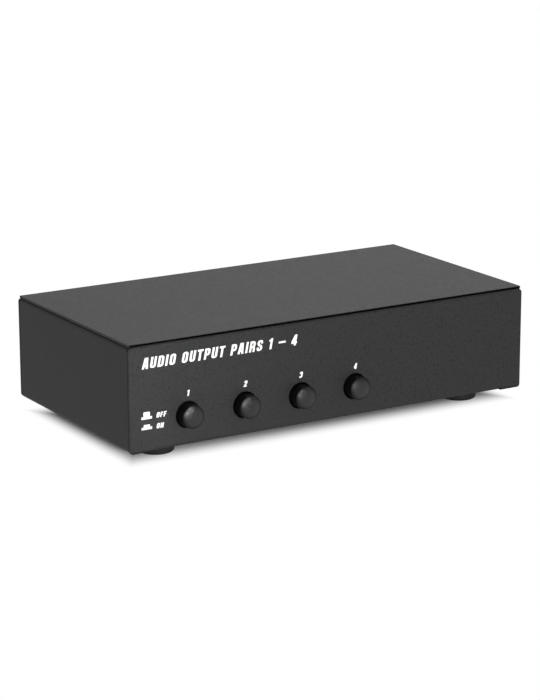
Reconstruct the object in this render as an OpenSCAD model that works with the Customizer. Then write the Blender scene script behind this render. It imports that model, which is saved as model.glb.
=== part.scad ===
// Four-way speaker selector: a folded steel case with four latching push buttons in the front,
// a switch board inside and five blocks of spring terminals in the back.
// X runs to the right, Y to the back and Z up. The origin lies on the surface that the feet stand
// on, under the middle of the whole outline. Sizes are in millimetres.

/* [Case] */
// Width of the case
case_w = 205; // [190:1:240]
// Depth of the case from the front wall to the rear wall
case_d = 106.5; // [102:0.5:150]
// Height of the folded case, without lid and feet
case_h = 47; // [44:0.2:54]
// Thickness of the steel sheet of the case
sheet_t = 1; // [0.8:0.1:1.2]
// Outer radius of the folds along the base
bend_r = 2; // [1.6:0.1:2.6]
// Outer radius of the folds along the top of the front and rear walls
lip_bend_r = 1.5; // [1.3:0.1:2]
// Depth of the front lip that the lid lies on
front_lip = 9; // [6:0.5:11]
// Depth of the rear lip that the lid lies on
rear_lip = 5; // [4:0.5:8]
// Outer radius of the folds along the top of the side walls
side_bend_r = 1.9; // [1.3:0.1:2.4]
// Depth of the side lips under the lid
side_lip = 7; // [4:0.5:8]
// Gap between the ends of the side lips and the lips next to them
lip_gap = 1; // [0.5:0.1:2]
// Length of the front wall's ends that run straight down, beside the folded middle
straight_end = 11; // [8:0.5:16]
// Distance of the lips from the ends of the case
lip_end_inset = 4; // [2:0.5:8]
// Slit between a side wall and the walls next to it
corner_slit = 0.3; // [0.1:0.05:0.5]
// Radius of the front wall's lower corners
corner_r = 1.4; // [0.5:0.1:2]

/* [Lid] */
// Thickness of the lid
lid_t = 1; // [0.8:0.1:1.5]
// Distance of the lid's ends from the sides of the case
lid_side_inset = 0.3; // [0.1:0.1:1]
// Distance of the lid's front edge from the front of the case
lid_front_inset = 0.8; // [0.5:0.1:1.2]
// Height of the shadow gap under the lid's front edge
shadow_gap_h = 0.7; // [0.3:0.1:0.7]
// Depth of the shadow gap under the lid's front edge
shadow_gap_d = 3; // [1:0.5:4]
// Wall that closes the ends of the shadow gap
shadow_gap_end = 0.6; // [0.4:0.1:2]
// Width of each screw ear under the lid's rear edge
ear_w = 12; // [9:0.5:16]
// Length of the screw ears below the lid
ear_drop = 8.4; // [8:0.2:9]
// Distance of the ears' screws from the top of the case
ear_screw_drop = 4.8; // [4.5:0.1:5]
// Gap beside a screw ear in its notch
ear_gap = 0.5; // [0.3:0.1:1]
// Width of each hook under the lid's front
hook_w = 12; // [8:0.5:16]
// Distance of the outer hooks from the ends of the case
hook_end_inset = 32.5; // [25:0.5:45]
// Length of a hook's foot below the front lip
hook_foot = 4; // [2:0.5:5]
// Gap between a hook and the front lip
hook_gap = 0.4; // [0.2:0.1:0.6]

/* [Feet] */
// Radius of a rubber foot
foot_r = 8.2; // [7:0.1:10]
// Height of a foot
foot_h = 6; // [5:0.2:9]
// Rounding of a foot's lower edge
foot_edge_r = 1.3; // [0.6:0.1:2]
// Distance of the feet from the ends of the case
foot_end_inset = 22; // [19:0.5:26]
// Distance of the feet from the front and rear walls
foot_wall_inset = 18; // [14:0.5:22]
// Radius of the screw recess in a foot
foot_recess_r = 3.8; // [3.4:0.1:4.4]
// Depth of the screw recess in a foot
foot_recess_h = 3.2; // [2.6:0.1:3.6]

/* [Buttons] */
// Distance between the buttons
button_pitch = 28.4; // [24:0.2:32]
// Distance of the first button from the left end of the case
button_end_inset = 28.3; // [26:0.1:34]
// Height of the buttons above the underside of the base
button_z = 13.7; // [12.8:0.1:16]
// Radius of the holes in the front wall
button_hole_r = 6; // [5.6:0.1:6.6]
// Gap between a cap and its hole
cap_gap = 0.7; // [0.4:0.1:1]
// How far a cap's crown stands out of the front wall
cap_out = 6; // [5:0.1:8]
// How far a cap reaches behind the front wall's outer face
cap_in = 6.5; // [5.5:0.1:7]
// Rise of the domed crown
cap_dome = 0.5; // [0.3:0.1:1]
// Rounding of a cap's rim
cap_rim_r = 0.8; // [0.4:0.1:1.2]
// Wall of a cap's skirt
cap_wall = 1.1; // [0.9:0.1:1.3]
// How far the hollow of a cap's skirt reaches beyond the front wall's outer face
cap_hollow = 2; // [0.5:0.1:2.5]
// Wall of the boss round a cap's square socket
boss_wall = 0.5; // [0.3:0.1:0.6]
// Travel of a button
button_travel = 4; // [3:0.1:4.4]

/* [Push switches] */
// Width of a plunger's square stem
stem_w = 4; // [3.4:0.1:4.2]
// Gap round the stem in the cap's socket
socket_gap = 0.05; // [0.02:0.01:0.1]
// Gap round the stem and the carriage in the switch housing
slide_gap = 0.25; // [0.2:0.05:0.4]
// Width of a switch housing
switch_w = 12; // [11.4:0.1:13]
// Height of a switch housing
switch_h = 11; // [10.4:0.1:12]
// Length of a switch housing
switch_l = 26; // [25:0.5:32]
// Space that a pressed cap leaves in front of its switch housing
cap_clear = 1.5; // [1:0.1:2]
// Wall of a switch housing
switch_wall = 1; // [0.8:0.1:1.2]
// Length of the sliding carriage
carriage_l = 9; // [7:0.5:10]
// Length of the rod that guides the spring
guide_l = 5; // [3:0.5:6]
// Radius of the guide rod
guide_r = 1.5; // [1.2:0.1:1.7]
// Radius of the spring wire
spring_wire_r = 0.25; // [0.2:0.05:0.3]
// Mean radius of the spring's curls
spring_r = 2.2; // [2.1:0.1:2.8]
// Number of curls in a spring
spring_turns = 7; // [5:1:8]
// Radius of a switch pin
pin_r = 0.45; // [0.3:0.05:0.6]
// Length of a switch pin below the housing
pin_l = 3; // [2.2:0.1:3.4]
// Distance between a switch's pins along the case
pin_pitch = 8; // [6:0.5:9]

/* [Switch board] */
// Distance of the board's ends from the sides of the case
board_end_inset = 9.5; // [8:0.5:12]
// Distance of the board's front edge from the front of the case
board_front = 9; // [8:0.5:10]
// Depth of the board
board_d = 57; // [56.5:0.5:60]
// Thickness of the board
board_t = 1.6; // [1.2:0.1:2]
// Distance of the board's screws from its edges
board_screw_inset = 5; // [4:0.5:5.5]
// Width across the flats of a standoff
standoff_w = 5.5; // [5:0.1:6]
// Step between a standoff's flats and the round stud in the base
stud_step = 0.6; // [0.4:0.1:0.8]

/* [Terminal blocks] */
// Distance of the row of terminal blocks from the ends of the case
row_end_inset = 7.5; // [6:0.1:9]
// Gap between the flanges of two blocks
block_gap = 1.4; // [0.8:0.1:3]
// Distance of a flange from the underside of the base
flange_low = 3; // [2.1:0.1:3.4]
// Gap between a flange and the heads of the lid screws
flange_top_gap = 2.6; // [0.5:0.1:3]
// Width of a flange beside the block, where its screws sit
flange_side = 5.9; // [5.6:0.1:6.2]
// Width of a flange above and below the block
flange_edge = 1.6; // [1:0.1:2]
// Thickness of a block's flange
flange_t = 2; // [1.6:0.1:2.6]
// Radius of the flange's corners
flange_corner_r = 1.5; // [0.5:0.1:3]
// Depth of a block behind its flange
block_d = 13; // [12:0.5:18]
// Wall between the two columns of pockets
column_wall = 2.4; // [2.2:0.1:2.8]
// Wall between the two rows of pockets
row_wall = 2; // [1.6:0.1:2.2]
// Outer wall of a block
block_wall = 1.8; // [1.6:0.1:2]
// Back wall of a block
back_wall = 1.2; // [1:0.1:2]
// Distance of a block's screws from the sides of its flange
block_screw_inset = 2.7; // [2.7:0.1:3]

/* [Levers] */
// Gap between a lever and its pocket on each side
lever_gap = 0.3; // [0.2:0.05:0.4]
// Depth of the hinge axis behind the flange's face
pivot_in = 3; // [2.8:0.1:3.4]
// Depth of the hinge axis below the pocket's ceiling
pivot_drop = 2.6; // [2.4:0.1:2.7]
// Radius of a lever's hinge pins
trunnion_r = 1.1; // [0.9:0.05:1.3]
// Length of a hinge pin beyond the lever's side
trunnion_l = 1; // [0.8:0.05:1.2]
// Running clearance round a hinge pin
trunnion_gap = 0.05; // [0.03:0.01:0.08]
// Radius of a lever's hub
hub_r = 2; // [1.8:0.1:2.2]
// Reach of the thumb tab from the hinge axis
tab_reach = 7.4; // [6.5:0.1:8]
// Drop of the thumb tab's tip below the hinge axis
tab_drop = 3; // [2.6:0.1:3.4]
// Thickness of the thumb tab's tip
tab_tip_t = 0.4; // [0.3:0.1:0.6]
// Depth of a lever's blade below the hinge axis
blade_drop = 3.7; // [3.5:0.1:4]
// Distance of a lever's heel behind the hinge axis
heel_back = 2.7; // [2.3:0.1:2.9]
// Bevel of a lever's heel
heel_bevel = 0.5; // [0.2:0.1:0.8]
// Height of a grip step on the thumb tab
grip_rise = 0.35; // [0.2:0.05:0.5]
// Number of grip steps
grip_steps = 4; // [2:1:6]

/* [Contacts and leads] */
// Width of a contact strip
contact_w = 5; // [4:0.1:6]
// Thickness of a contact strip
contact_t = 0.5; // [0.4:0.1:0.8]
// Distance of a contact's bend behind the hinge axis
contact_back = 5.4; // [5:0.1:6]
// Distance of a contact's nose behind the hinge axis
nose_back = 3.9; // [3.8:0.1:4.4]
// Lean of a contact's tip back from its nose
tip_back = 0.7; // [0.4:0.1:1]
// Gap between a contact's tip and the pocket's ceiling
tip_gap = 1; // [0.8:0.1:1.4]
// Height of a solder lug above the pocket's floor
lug_up = 6; // [5:0.1:7]
// Length of the solder lug behind a block
lug_l = 4; // [3:0.5:6]
// Gap round a contact strip in its slot
contact_gap = 0.1; // [0.05:0.05:0.2]
// Gap round a switch pin in its hole in the board
pin_gap = 0.1; // [0.05:0.05:0.3]
// Radius of a lead
lead_r = 0.8; // [0.6:0.1:1]
// Distance of the lower row's solder pads from the board's rear edge
pad_inset = 4; // [3:0.5:6]
// Distance between the two rows of solder pads
pad_row = 5; // [4:0.5:8]

/* [Screws] */
// Radius of the screws' shanks
screw_r = 1.45; // [1.3:0.05:1.5]
// Radius of the screws' heads
screw_head_r = 2.6; // [2.4:0.1:2.7]
// Height of the screws' heads
screw_head_h = 1.7; // [1.4:0.1:2]
// Rise of a screw head's dome
head_dome = 0.6; // [0.4:0.1:0.8]
// Length of the lid screws' shanks
lid_screw_l = 6; // [4:0.5:8]
// Length of the block screws' shanks
block_screw_l = 7; // [5:0.5:9]
// Reach of the foot screws beyond the base
foot_screw_end = 2; // [1:0.5:4]
// Gap round a shank in the piece that it is driven into
thread_gap = 0.05; // [0.03:0.01:0.1]
// Gap round a shank in the piece that it clamps
screw_gap = 0.2; // [0.1:0.05:0.3]

/* [Hidden] */
$fn = 64;
pairs = 4;                                      // pairs of speakers, each with its own button
BLOCKS = ["amp", "spk1", "spk2", "spk3", "spk4"];
CLIPS = ["left_pos", "left_neg", "right_pos", "right_neg"];
CORNERS = ["front_left", "front_right", "rear_left", "rear_right"];

seat = 0.1;                                     // gap between pieces that rest on each other
slip = 0.02;                                    // overlap that joins shapes into one solid
tab_out = tab_reach - pivot_in;                 // reach of a lever beyond its flange
rear_out = flange_t + tab_out;                  // reach of the levers behind the case
front_y = (cap_out - rear_out - case_d) / 2;    // outer face of the front wall
side_top = case_h - side_bend_r;                // where the side walls' upper folds start
rear_in = case_d - sheet_t;                     // inner face of the rear wall
cap_r = button_hole_r - cap_gap;
socket_w = stem_w + 2 * socket_gap;
boss_r = socket_w / sqrt(2) + boss_wall;        // boss round a cap's square socket
board_top = button_z - switch_h / 2;            // upper face of the board
board_w = case_w - 2 * board_end_inset;
standoff_h = board_top - board_t - sheet_t;
ear_screw_z = case_h - ear_screw_drop;
switch_y = cap_in + button_travel + cap_clear;  // front of the switch housings
cavity_l = switch_l - 2 * switch_wall;
carriage_w = switch_w - 2 * switch_wall - 2 * slide_gap;
carriage_h = switch_h - 2 * switch_wall - 2 * slide_gap;
carriage_y = switch_y + switch_wall + seat;     // front of the carriage at rest
block_pitch = (case_w - 2 * row_end_inset) / 5; // distance between the terminal blocks
ear_pitch = 1.5 * block_pitch;                  // distance between the lid's screw ears
hook_pitch = case_w / 2 - hook_end_inset;       // distance between the hooks
flange_w = block_pitch - block_gap;
flange_h = ear_screw_z - screw_head_r - flange_top_gap - flange_low;
block_z = flange_low + flange_h / 2;            // height of the blocks' centre
housing_w = flange_w - 2 * flange_side;
housing_h = flange_h - 2 * flange_edge;
pocket_w = (housing_w - column_wall) / 2 - block_wall;
pocket_h = (housing_h - row_wall) / 2 - block_wall;
pivot_up = pocket_h - pivot_drop;               // height of the hinge axis above the pocket's floor
block_screw_x = flange_w / 2 - block_screw_inset;
spring_y = carriage_y + carriage_l + seat + spring_wire_r;
spring_l = switch_y + switch_l - switch_wall - seat - spring_wire_r - spring_y;
pocket_pitch_x = pocket_w + column_wall;
lever_w = pocket_w - 2 * lever_gap;
flange_y = case_d + flange_t;                   // outer face of the flanges
pocket_back = block_d + flange_t - back_wall;   // depth of a pocket behind the flange's face
lug_end = block_d + flange_t + lug_l;           // depth of a solder lug's end
pad_y = board_front + board_d - pad_inset;      // lower row's solder pads

function button_x(n) = -case_w / 2 + button_end_inset + (n - 1) * button_pitch;
function block_x(b) = (2 - b) * block_pitch;
function clip_x(c) = (c % 2 == 0 ? 0.5 : -0.5) * pocket_pitch_x;
function clip_floor(c) = block_z + (c < 2 ? row_wall / 2 : -row_wall / 2 - pocket_h);
function screw_spots() = [for (x = [-1, 1], y = [0, 1]) [
    x * (board_w / 2 - board_screw_inset),
    board_front + board_screw_inset + y * (board_d - 2 * board_screw_inset)
]];

module in_case() translate([0, front_y, foot_h]) children();
module along_x(w) translate([-w / 2, 0, 0]) rotate([90, 0, 90]) linear_extrude(w) children();
module along_y(l) rotate([90, 0, 0]) mirror([0, 0, 1]) linear_extrude(l) children();
module both_sides() {
    children();
    mirror([1, 0, 0]) children();
}
module centred(size) translate([-size[0] / 2, 0, -size[2] / 2]) cube(size);

// A quarter of a folded sheet, between the directions a and a + 90
module fold(r, a) {
    intersection() {
        difference() {
            circle(r);
            circle(r - sheet_t);
        }
        rotate(a) square(r + 1);
    }
}

// Screw with its head above z = 0 and its shank below
module pan_screw(shank_r, shank_l) {
    rotate_extrude() {
        square([screw_head_r, screw_head_h - head_dome]);
        intersection() {
            translate([0, screw_head_h - dome_radius(screw_head_r, head_dome)])
                circle(dome_radius(screw_head_r, head_dome));
            translate([0, screw_head_h - head_dome - slip]) square([screw_head_r, head_dome + slip]);
        }
        translate([0, -shank_l]) square([shank_r, shank_l + slip]);
    }
}
function dome_radius(r, rise) = (r * r + rise * rise) / (2 * rise);

module rounded_plate(w, h, r) {
    square([w - 2 * r, h], center = true);
    square([w, h - 2 * r], center = true);
    for (x = [-1, 1], y = [-1, 1]) translate([x * (w / 2 - r), y * (h / 2 - r)]) circle(r);
}

/* Case */
// Side view of a lip with the fold that joins it to its wall, whose outer face is at x = 0
module lip_profile(lip, r) {
    translate([0, case_h - r - slip]) square([sheet_t, slip]);
    translate([r, case_h - r]) fold(r, 90);
    translate([r, case_h - sheet_t]) square([lip - r, sheet_t]);
}

// Side view of a wall with its top lip; the foot is folded or straight
module wall_profile(lip, folded) {
    low = folded ? bend_r : 0;
    translate([0, low]) square([sheet_t, case_h - lip_bend_r - low]);
    if (folded) translate([bend_r, bend_r]) fold(bend_r, 180);
    lip_profile(lip, lip_bend_r);
}

module side_profile() {
    translate([0, bend_r]) square([sheet_t, side_top - bend_r]);
    translate([bend_r, bend_r]) fold(bend_r, 180);
    translate([bend_r, 0]) square([straight_end - bend_r + slip, sheet_t]);
}

// Waste outside a corner rounded to r, at the lower left end of a wall that is deep thick
module corner_waste(r, deep) translate([-case_w / 2, 0, 0]) difference() {
    translate([-1, -1, -1]) cube([r + 1, deep + 1, r + 1]);
    translate([r, -2, r]) rotate([-90, 0, 0]) cylinder(h = deep + 3, r = r);
}

// Base, front wall and rear wall; the walls' corners are rounded and their lips stop short of the sides
module base_and_end_walls() difference() {
    union() {
        along_x(case_w - 2 * straight_end) {
            wall_profile(front_lip, true);
            translate([bend_r, 0]) square([case_d - 2 * bend_r, sheet_t]);
        }
        both_sides() translate([(straight_end - case_w) / 2, 0, 0]) along_x(straight_end)
            wall_profile(front_lip, false);
        along_x(case_w) translate([case_d, 0]) mirror([1, 0]) wall_profile(rear_lip, true);
    }
    both_sides() {
        corner_waste(corner_r, bend_r);
        translate([0, 0, case_h]) mirror([0, 0, 1]) corner_waste(side_bend_r, lip_bend_r);
        translate([0, case_d, 0]) mirror([0, 1, 0]) {
            corner_waste(bend_r, bend_r);
            translate([0, 0, case_h]) mirror([0, 0, 1]) corner_waste(side_bend_r, lip_bend_r);
        }
        for (y = [lip_bend_r, case_d - lip_bend_r - front_lip])
            translate([-case_w / 2 - 1, y, case_h - lip_bend_r])
                cube([lip_end_inset + 1, front_lip, lip_bend_r + 1]);
    }
}

module side_wall() {
    side_y = sheet_t + corner_slit;
    fold_y = lip_bend_r + corner_slit;
    lip_y = front_lip + lip_gap;
    translate([0, side_y, 0]) along_y(case_d - bend_r - side_y) side_profile();
    translate([0, side_y, bend_r]) cube([sheet_t, case_d - 2 * side_y, side_top - bend_r]);
    translate([0, fold_y, 0]) along_y(case_d - 2 * fold_y) lip_profile(side_bend_r + slip, side_bend_r);
    translate([side_bend_r, lip_y, case_h - sheet_t])
        cube([side_lip - side_bend_r, case_d - rear_lip - lip_gap - lip_y, sheet_t]);
}

module chassis_sheet() {
    base_and_end_walls();
    both_sides() translate([-case_w / 2, 0, 0]) side_wall();
}

module chassis_holes() {
    for (n = [1:pairs]) translate([button_x(n), -1, button_z]) rotate([-90, 0, 0])
        cylinder(h = sheet_t + 2, r = button_hole_r);
    for (b = [0:4]) translate([block_x(b), rear_in - 1, block_z]) {
        centred([housing_w + 2 * seat, sheet_t + 2, housing_h + 2 * seat]);
        for (s = [-1, 1]) translate([s * block_screw_x, 0, 0]) rotate([-90, 0, 0])
            cylinder(h = sheet_t + 2, r = screw_r + thread_gap);
    }
    for (e = [-1:1]) translate([e * ear_pitch, 0, 0]) {
        translate([0, rear_in - 1, ear_screw_z]) rotate([-90, 0, 0])
            cylinder(h = sheet_t + 2, r = screw_r + screw_gap);
        translate([-ear_w / 2 - ear_gap, case_d - rear_lip - 1, ear_screw_z])
            cube([ear_w + 2 * ear_gap, rear_lip + 1 - sheet_t, case_h]);
    }
    for (s = foot_spots()) translate([s[0], s[1], -1]) cylinder(h = sheet_t + 2, r = screw_r + thread_gap);
    for (s = screw_spots()) translate([s[0], s[1], -1]) cylinder(h = sheet_t + 2, r = stud_r() + thread_gap);
}
function foot_spots() = [for (y = [0, 1], x = [-1, 1]) [
    x * (case_w / 2 - foot_end_inset),
    y == 0 ? foot_wall_inset : case_d - foot_wall_inset
]];
function stud_r() = standoff_w / 2 - stud_step;

module chassis() {
    color("#26272a") in_case() difference() {
        chassis_sheet();
        chassis_holes();
    }
}

module lid() {
    plate_w = case_w - 2 * lid_side_inset;
    plate_back = rear_in - seat;
    color("#2c2d30") in_case() difference() {
        union() {
            translate([-plate_w / 2, lid_front_inset, case_h])
                cube([plate_w, plate_back - lid_front_inset, lid_t]);
            for (e = [-1:1]) translate([e * ear_pitch, 0, 0]) along_x(ear_w)
                translate([plate_back - sheet_t, case_h - ear_drop]) square([sheet_t, ear_drop + slip]);
            for (h = [-1:1]) translate([h * hook_pitch, 0, 0]) along_x(hook_w) lid_hook();
        }
        for (e = [-1:1]) translate([e * ear_pitch, rear_in - sheet_t - 1, ear_screw_z]) rotate([-90, 0, 0])
            cylinder(h = sheet_t + 2, r = screw_r + thread_gap);
        translate([shadow_gap_end - plate_w / 2, lid_front_inset - 1, case_h - 1])
            cube([plate_w - 2 * shadow_gap_end, shadow_gap_d + 1, shadow_gap_h + 1]);
    }
}

// Side view of a hook that grips the front lip from below
module lid_hook() {
    low = case_h - 2 * sheet_t - hook_gap;
    translate([front_lip + hook_gap, low]) square([sheet_t, case_h - low + slip]);
    translate([front_lip + hook_gap - hook_foot, low]) square([hook_foot + slip, sheet_t]);
}

module lid_screws() {
    color("#1b1b1c") in_case() for (e = [-1:1]) translate([e * ear_pitch, case_d, ear_screw_z])
        rotate([-90, 0, 0]) pan_screw(screw_r, lid_screw_l);
}

/* Feet */
module foot(spot) {
    color("#161616") translate([spot[0], front_y + spot[1], 0]) difference() {
        rotate_extrude() {
            translate([0, foot_edge_r]) square([foot_r, foot_h - foot_edge_r]);
            square([foot_r - foot_edge_r, foot_h]);
            translate([foot_r - foot_edge_r, foot_edge_r]) circle(foot_edge_r);
        }
        translate([0, 0, -1]) cylinder(h = foot_recess_h + 1, r = foot_recess_r);
        cylinder(h = foot_h + 1, r = screw_r + screw_gap);
    }
}

module foot_screws() {
    shank = foot_h - foot_recess_h + sheet_t + foot_screw_end;
    color("#b9bbbd") for (s = foot_spots()) translate([s[0], front_y + s[1], foot_recess_h])
        mirror([0, 0, 1]) pan_screw(screw_r, shank);
}

/* Buttons and switches */
// The cap lies along Y with its crown towards the front; y = 0 is the front wall's outer face
module button_cap(n) {
    rim = cap_out - cap_dome;
    flat_r = cap_r - cap_rim_r;
    dome_r = dome_radius(flat_r, cap_dome);
    color("#1d1d1e") in_case() translate([button_x(n), 0, button_z]) rotate([90, 0, 0]) difference() {
        rotate_extrude() {
            translate([0, -cap_in]) square([cap_r, cap_in + rim - cap_rim_r]);
            translate([0, -cap_in]) square([flat_r, cap_in + rim]);
            translate([flat_r, rim - cap_rim_r]) circle(cap_rim_r);
            intersection() {
                translate([0, cap_out - dome_r]) circle(dome_r);
                translate([0, rim - slip]) square([flat_r, cap_dome + slip]);
            }
        }
        translate([-socket_w / 2, -socket_w / 2, -cap_in - 1]) cube([socket_w, socket_w, cap_in + 1]);
        translate([0, 0, -cap_in - 1]) difference() {
            cylinder(h = cap_in + 1 + cap_hollow, r = cap_r - cap_wall);
            cylinder(h = cap_in + 1 + cap_hollow, r = boss_r);
        }
    }
}

module plunger(n) {
    color("#d8d4c8") in_case() translate([button_x(n), 0, button_z]) {
        translate([0, seat, 0]) centred([stem_w, carriage_y, stem_w]);
        translate([0, carriage_y, 0]) centred([carriage_w, carriage_l, carriage_h]);
        translate([0, carriage_y + carriage_l - slip, 0]) rotate([-90, 0, 0])
            cylinder(h = guide_l, r = guide_r);
    }
}

function pin_spots() = [for (x = [-1, 1], y = [-1:1])
    [x * switch_w / 4, switch_y + switch_l / 2 + y * pin_pitch]];

module switch_housing(n) {
    stem_hole = stem_w + 2 * slide_gap;
    color("#2f3133") in_case() translate([button_x(n), 0, button_z]) {
        difference() {
            translate([0, switch_y, 0]) centred([switch_w, switch_l, switch_h]);
            translate([0, switch_y + switch_wall, 0])
                centred([switch_w - 2 * switch_wall, cavity_l, switch_h - 2 * switch_wall]);
            translate([0, switch_y - 1, 0]) centred([stem_hole, switch_wall + 2, stem_hole]);
        }
        for (s = pin_spots()) translate([s[0], s[1], -switch_h / 2 - pin_l])
            cylinder(h = pin_l + slip, r = pin_r);
    }
}

spring_rings = 8;
spring_sides = 6;
spring_pitch = spring_l / spring_turns;
spring_path = [for (i = [0:spring_turns * spring_rings]) let (a = i * 360 / spring_rings)
    [spring_r * cos(a), spring_r * sin(a), spring_pitch * a / 360]];
function spring_ring(i) = let (
    a = i * 360 / spring_rings,
    out = [cos(a), sin(a), 0],
    along = [-spring_r * sin(a), spring_r * cos(a), spring_pitch / (2 * PI)],
    across = cross(along / norm(along), out)
) [for (j = [0:spring_sides - 1]) let (b = j * 360 / spring_sides)
    spring_path[i] + spring_wire_r * (cos(b) * out + sin(b) * across)];

module switch_spring(n) {
    last = len(spring_path) - 1;
    points = [for (i = [0:last]) each spring_ring(i)];
    sides = [for (i = [0:last - 1], j = [0:spring_sides - 1]) let (k = (j + 1) % spring_sides)
        each [
            [i * spring_sides + j, i * spring_sides + k, (i + 1) * spring_sides + j],
            [i * spring_sides + k, (i + 1) * spring_sides + k, (i + 1) * spring_sides + j]
        ]];
    low_end = [for (j = [1:spring_sides - 2]) [0, j + 1, j]];
    top = last * spring_sides;
    high_end = [for (j = [1:spring_sides - 2]) [top, top + j, top + j + 1]];
    color("#c9ccce") in_case() translate([button_x(n), spring_y, button_z]) rotate([-90, 0, 0])
        polyhedron(points, concat(sides, low_end, high_end));
}
spring_gap = min([for (i = [0:len(spring_path) - 1], j = [i + spring_rings / 2:1:len(spring_path) - 1])
    norm(spring_path[j] - spring_path[i])]) - 2 * spring_wire_r;
echo(least_gap_between_spring_curls = spring_gap);

/* Switch board */
module switch_board() {
    color("#3b6b3f") in_case() difference() {
        translate([-board_w / 2, board_front, board_top - board_t - seat]) cube([board_w, board_d, board_t]);
        for (s = screw_spots()) translate([s[0], s[1], sheet_t])
            cylinder(h = board_top, r = screw_r + screw_gap);
        for (n = [1:pairs], s = pin_spots()) translate([button_x(n) + s[0], s[1], sheet_t])
            cylinder(h = board_top, r = pin_r + pin_gap);
    }
}

module standoffs() {
    hex_r = standoff_w / 2 / cos(30);
    color("#c8a85a") in_case() for (s = screw_spots()) translate([s[0], s[1], 0]) difference() {
        union() {
            translate([0, 0, sheet_t]) cylinder(h = standoff_h - 2 * seat, r = hex_r, $fn = 6);
            translate([0, 0, seat]) cylinder(h = sheet_t, r = stud_r());
        }
        translate([0, 0, sheet_t]) cylinder(h = standoff_h, r = screw_r + thread_gap);
    }
}

module board_screws() {
    color("#c9ccce") in_case() for (s = screw_spots()) translate([s[0], s[1], board_top])
        pan_screw(screw_r, standoff_h - seat);
}

/* Terminal blocks; a terminal is drawn with y = 0 at the flange's outer face */
module at_block(b) in_case() translate([block_x(b), flange_y, 0]) children();
module at_clip(b, c) at_block(b) translate([clip_x(c), 0, clip_floor(c)]) children();
module at_pivot(b, c) at_clip(b, c) translate([0, -pivot_in, pivot_up]) children();

// The pin that a lever turns on, grown by gap
module hinge_pin(gap) rotate([0, 90, 0])
    cylinder(h = lever_w + 2 * (trunnion_l + gap), r = trunnion_r + gap, center = true);

module terminal_block(b) {
    slot_w = contact_w + 2 * contact_gap;
    slot_h = contact_t + 2 * contact_gap;
    color("#1a1a1b") difference() {
        at_block(b) translate([0, 0, block_z]) {
            translate([0, -flange_t, 0]) along_y(flange_t) rounded_plate(flange_w, flange_h, flange_corner_r);
            translate([0, -flange_t - block_d, 0]) centred([housing_w, block_d + slip, housing_h]);
        }
        for (c = [0:3]) {
            at_clip(b, c) translate([-pocket_w / 2, -pocket_back, 0])
                cube([pocket_w, pocket_back + 1, pocket_h]);
            at_clip(b, c) translate([-slot_w / 2, -lug_end, lug_up - slot_h / 2])
                cube([slot_w, lug_end, slot_h]);
            at_pivot(b, c) hinge_pin(trunnion_gap);
        }
        at_block(b) for (s = [-1, 1]) translate([s * block_screw_x, -flange_t - 1, block_z])
            rotate([-90, 0, 0]) cylinder(h = flange_t + 2, r = screw_r + screw_gap);
    }
}

module block_screws() {
    color("#b9bbbd") for (b = [0:4], s = [-1, 1]) at_block(b)
        translate([s * block_screw_x, 0, block_z]) rotate([-90, 0, 0]) pan_screw(screw_r, block_screw_l);
}

// Outline of a strip of thickness t along a path in the plane
function strip(path, t) = let (
    n = len(path) - 1,
    dir = [for (i = [0:n - 1]) (path[i + 1] - path[i]) / norm(path[i + 1] - path[i])],
    side = [for (i = [0:n]) let (
        a = dir[max(i - 1, 0)],
        b = dir[min(i, n - 1)],
        m = [-a[1] - b[1], a[0] + b[0]]
    ) m / (1 + a * b)]
) concat([for (i = [0:n]) path[i] + side[i] * t / 2], [for (i = [n:-1:0]) path[i] - side[i] * t / 2]);

module contact() {
    inner = -pocket_back + contact_t / 2 + seat;
    floor_z = contact_t / 2 + seat;
    nose = [-pivot_in - nose_back, pivot_up - blade_drop + slip];
    along_x(contact_w) polygon(strip([
        [-lug_end, lug_up],
        [inner, lug_up],
        [inner, floor_z],
        [-pivot_in - contact_back, floor_z],
        nose,
        [nose[0] - tip_back, pocket_h - tip_gap]
    ], contact_t));
}

module contacts(b) {
    color("#c7b27a") for (c = [0:3]) at_clip(b, c) contact();
}

// Side view of a lever round its hinge axis, with grip steps down the thumb tab
tab_top = [1.5 * hub_r, 0.8 * hub_r];
tab_tip = [tab_reach, -tab_drop];
grip_run = (tab_tip - tab_top) / grip_steps;
grip_out = [-grip_run[1], grip_run[0]] / norm(grip_run) * grip_rise;
function grip_points() = [for (i = [0:grip_steps - 1]) each [
    tab_top + grip_run * i,
    tab_top + grip_run * (i + 0.75) + grip_out
]];

module lever(b, c) {
    color(c % 2 == 0 ? "#c0262a" : "#141415") at_pivot(b, c) {
        along_x(lever_w) {
            circle(hub_r);
            polygon(concat(grip_points(), [
                tab_tip,
                [tab_reach - tab_tip_t, -tab_drop - tab_tip_t],
                [heel_bevel - heel_back, -blade_drop],
                [-heel_back, heel_bevel - blade_drop],
                [-heel_back, -hub_r / 2],
                [-0.7 * hub_r, 0.7 * hub_r]
            ]));
        }
        hinge_pin(0);
    }
}

// Leads run from the solder lugs over the board and down to their pads
module hookup_leads() {
    color("#8e1f22") for (b = [0:4], c = [0:3]) {
        far = pad_y - (c < 2 ? pad_row : 0) - (c % 2) * 2 * lead_r;
        start = flange_y - lug_end - seat;
        lift = clip_floor(c) + lug_up - board_top - seat;
        in_case() translate([block_x(b) + clip_x(c), far, board_top + seat]) {
            cylinder(h = lift, r = lead_r);
            translate([0, 0, lift]) sphere(lead_r);
            translate([0, 0, lift]) rotate([-90, 0, 0]) cylinder(h = start - far, r = lead_r);
        }
    }
}

chassis();
lid();
lid_screws();
switch_board();
standoffs();
board_screws();
for (n = [1:pairs]) {
    button_cap(n);
    plunger(n);
    switch_housing(n);
    switch_spring(n);
}
for (b = [0:4]) {
    terminal_block(b);
    contacts(b);
    for (c = [0:3])
        lever(b, c);
}
block_screws();
hookup_leads();
for (i = [0:3])
    foot(foot_spots()[i]);
foot_screws();
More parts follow.
